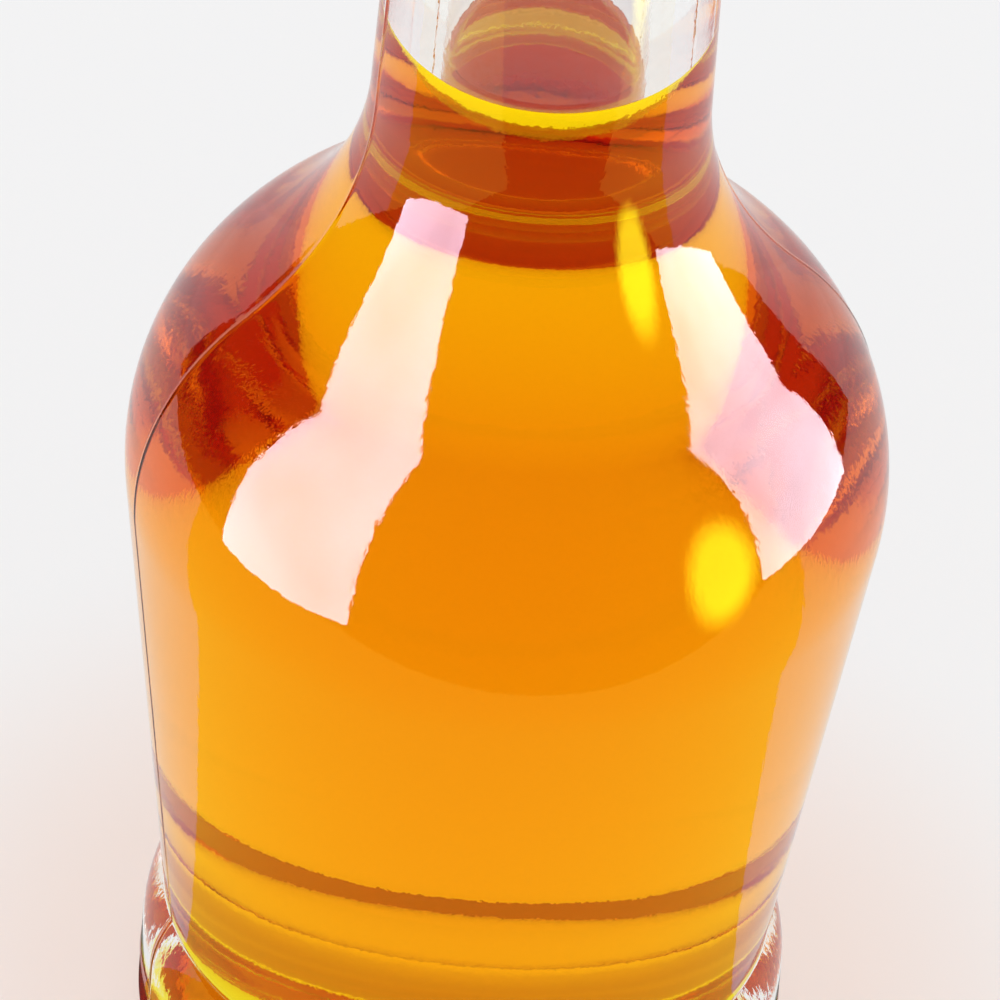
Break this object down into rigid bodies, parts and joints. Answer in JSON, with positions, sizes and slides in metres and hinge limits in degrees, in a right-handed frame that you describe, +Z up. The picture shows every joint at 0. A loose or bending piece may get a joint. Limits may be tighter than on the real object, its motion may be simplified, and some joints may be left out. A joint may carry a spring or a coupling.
{
  "type": "oil bottle",
  "caption": "Clear glass bottle with a domed shoulder and a flared foot, filled with amber oil, with a wood-topped cork that pulls out.",
  "frame": {"origin": "middle of the base, on the surface that the bottle stands on", "axes": "+Z up along the bottle's axis, from the base to the stopper; the bottle is round, so X and Y are free"},
  "size_m": [0.07, 0.07, 0.1691],
  "materials": {
    "clear_glass": "clear, polished, slightly rippled",
    "amber_oil": "clear liquid, amber",
    "pressed_cork": "fine pressed cork grains, sanded",
    "natural_cork": "natural cork with fine pores",
    "pale_dowel": "raw beech",
    "stained_wood": "turned, stained and waxed",
    "inlay_metal": "brushed, satin"
  },
  "bodies": {
    "bottle": {"glass_bottle": "clear_glass", "oil_fill": "amber_oil"},
    "stopper": {"cork_shank": "pressed_cork", "cork_end_disc": "natural_cork", "head_peg": "pale_dowel", "stopper_head": "stained_wood", "head_inlay": "inlay_metal"}
  },
  "joints": [
    {"name": "stopper_pull", "type": "slide", "parent": "bottle", "child": "stopper", "axis": [0, 0, 1], "range_m": [0, 0.045]}
  ]
}
